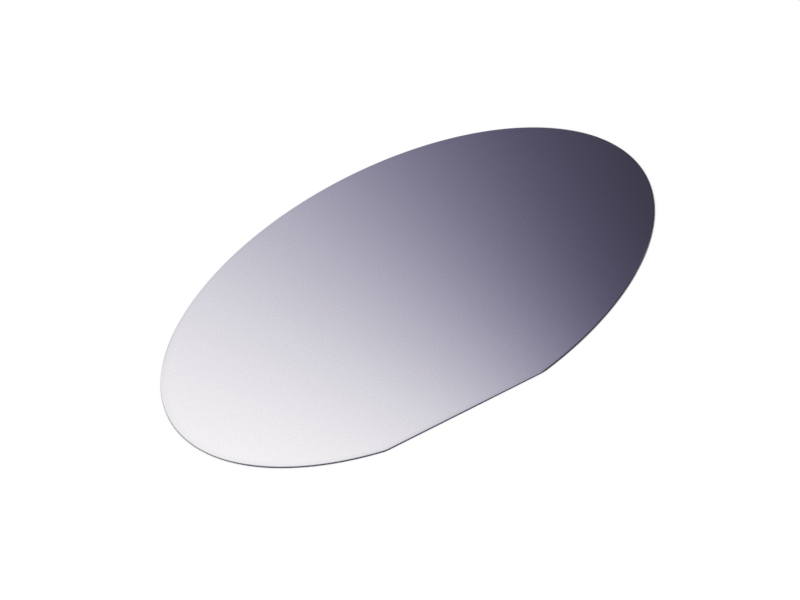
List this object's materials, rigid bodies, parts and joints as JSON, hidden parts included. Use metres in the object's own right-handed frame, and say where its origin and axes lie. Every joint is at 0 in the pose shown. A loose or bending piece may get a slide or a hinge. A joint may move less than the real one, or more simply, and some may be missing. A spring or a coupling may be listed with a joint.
{
  "type": "silicon carbide epitaxial wafer",
  "caption": "Thin round semiconductor wafer with one straight orientation flat, a polished grown front face and a ground, rounded edge.",
  "frame": {"origin": "centre of the round outline, on the back face", "axes": "+Z out of the front face, -Y through the middle of the orientation flat, +X along the flat, to the right seen from the flat with the front face up"},
  "size_m": [0.15, 0.1461, 0.0004],
  "materials": {
    "crystal": "polished single-crystal silicon carbide, mirror-like on the front face"
  },
  "bodies": {
    "root": {"wafer": "crystal"}
  },
  "joints": []
}
